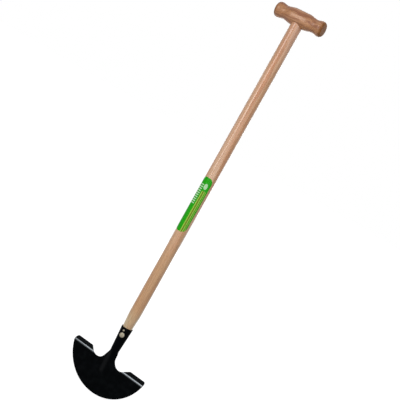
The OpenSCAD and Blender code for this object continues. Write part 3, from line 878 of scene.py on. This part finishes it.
class EDGER_OT_label(bpy.types.Operator):
    """Print the film label round the front of the shaft"""

    bl_idname = "edger.label"
    bl_label = "Film Label"

    def execute(self, context):
        low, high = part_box("shaft_label")
        dress("shaft_label", printed_film(context.scene.edger.colours, low, high))
        return {"FINISHED"}


def seen_rays(tree):
    """1 for rays that show a surface to the camera, straight, in a gloss or through glass."""
    rays = add(tree, "ShaderNodeLightPath").outputs
    seen = add(tree, MATH, MAXIMUM, (rays["Is Camera Ray"], rays["Is Glossy Ray"]))
    return add(tree, MATH, MAXIMUM, (seen, rays["Is Transmission Ray"]))


def studio_world(scene):
    """White surround for the camera and for reflections, and a plain soft fill for everything else."""
    world = bpy.data.worlds.new("white_surround")
    scene.world = world
    world.use_nodes = True
    tree = world.node_tree
    tree.nodes.clear()
    strength = add(tree, RANGE, None, (seen_rays(tree), 0.0, 1.0, SURROUND_FILL, 1.0))
    light = add(tree, "ShaderNodeBackground", None, {"Color": (1, 1, 1, 1), "Strength": strength})
    add(tree, "ShaderNodeOutputWorld", None, {"Surface": light})


def pale_floor_paint(rgb):
    """Matt white studio floor: white to the camera, and darker only where the object shades it."""
    material = bpy.data.materials.new("matt_white_floor")
    material.use_nodes = True
    tree = material.node_tree
    tree.nodes.clear()
    place = add(tree, "ShaderNodeTexCoord").outputs["Object"]
    away = add(tree, VECTOR, {"operation": "LENGTH"}, (place,))
    lift = add(tree, RANGE, SMOOTH, (away, *FLOOR_REACH, *FLOOR_WHITE))
    matt = add(tree, "ShaderNodeBsdfDiffuse", None, {"Color": toned(rgb, FLOOR_SHADE)})
    glow = add(tree, "ShaderNodeEmission", None, {
        "Strength": add(tree, MATH, MULTIPLY, (seen_rays(tree), lift))})
    both = add(tree, "ShaderNodeAddShader", None, (matt, glow))
    add(tree, "ShaderNodeOutputMaterial", None, {"Surface": both})
    return material


def softbox(scene, name, foot, top, width, watts):
    """A flat softbox that stands between two points and faces the object."""
    foot, top = Vector(foot), Vector(top)
    lamp = bpy.data.lights.new(name, "AREA")
    lamp.shape, lamp.size, lamp.size_y, lamp.energy = "RECTANGLE", width, (top - foot).length, watts
    rise = (top - foot).normalized()
    face = Vector((1.0, 0.0, 0.0)).cross(rise).normalized()
    turn = Matrix((rise.cross(face), rise, face)).transposed().to_4x4()
    box = bpy.data.objects.new(name, lamp)
    box.matrix_world = Matrix.Translation((foot + top) / 2) @ turn
    scene.collection.objects.link(box)


class EDGER_OT_stage(bpy.types.Operator):
    """Set the floor, the surround, three softboxes and the camera"""

    bl_idname = "edger.stage"
    bl_label = "Stage"

    def execute(self, context):
        scene = context.scene
        scene.view_settings.view_transform = "Standard"
        plate = bpy.data.meshes.new("floor")
        corners = [(x * FLOOR_HALF, y * FLOOR_HALF, 0) for x, y in ((-1, -1), (1, -1), (1, 1), (-1, 1))]
        plate.from_pydata(corners, [], [(0, 1, 2, 3)])
        plate.materials.append(pale_floor_paint(scene.edger.colours.floor))
        floor = bpy.data.objects.new("floor", plate)
        scene.collection.objects.link(floor)
        studio_world(scene)
        for box in SOFTBOXES:
            softbox(scene, *box)
        self.camera(scene)
        return {"FINISHED"}

    def camera(self, scene):
        """A nearly level view from the front right, rolled so that the tool leans across the frame."""
        data = bpy.data.cameras.new("camera")
        data.lens, data.sensor_width = LENS, SENSOR
        level = math.cos(CAMERA_RISE)
        back = Vector((math.sin(CAMERA_TURN) * level, -math.cos(CAMERA_TURN) * level, math.sin(CAMERA_RISE)))
        right = Vector((math.cos(CAMERA_TURN), math.sin(CAMERA_TURN), 0.0))
        up = back.cross(right)
        aim = right * AIM_RIGHT + Vector((0.0, 0.0, AIM_UP))
        across = right * math.cos(CAMERA_ROLL) + up * math.sin(CAMERA_ROLL)
        along = up * math.cos(CAMERA_ROLL) - right * math.sin(CAMERA_ROLL)
        turn = Matrix((across, along, back)).transposed().to_4x4()
        camera = bpy.data.objects.new("camera", data)
        camera.matrix_world = Matrix.Translation(aim + back * CAMERA_AWAY) @ turn
        scene.collection.objects.link(camera)
        scene.camera = camera


OPERATORS = (
    EDGER_OT_head, EDGER_OT_shaft, EDGER_OT_grip, EDGER_OT_fasteners, EDGER_OT_label, EDGER_OT_stage)


class EDGER_PT_panel(bpy.types.Panel):
    """Settings and steps of the edger"""

    bl_label = "Half Moon Edger"
    bl_space_type = "VIEW_3D"
    bl_region_type = "UI"
    bl_category = "Edger"

    def draw(self, context):
        for kind in OPERATORS:
            self.layout.operator(kind.bl_idname)
        settings = context.scene.edger
        for group in (settings.head, settings.shaft, settings.grip, settings.colours):
            column = self.layout.column(align=True)
            for name in type(group).__annotations__:
                column.prop(group, name)


CLASSES = (EdgerHead, EdgerShaft, EdgerGrip, EdgerColours, EdgerSettings, *OPERATORS, EDGER_PT_panel)


def register():
    """Register the classes and hang the settings on the scene."""
    for kind in CLASSES:
        bpy.utils.register_class(kind)
    bpy.types.Scene.edger = PointerProperty(type=EdgerSettings)


def unregister():
    """Take the settings and the classes away again."""
    del bpy.types.Scene.edger
    for kind in reversed(CLASSES):
        bpy.utils.unregister_class(kind)


def main():
    """Build every piece and the stage."""
    register()
    for step in ("head", "shaft", "grip", "fasteners", "label", "stage"):
        getattr(bpy.ops.edger, step)()


if __name__ == "__main__":
    main()
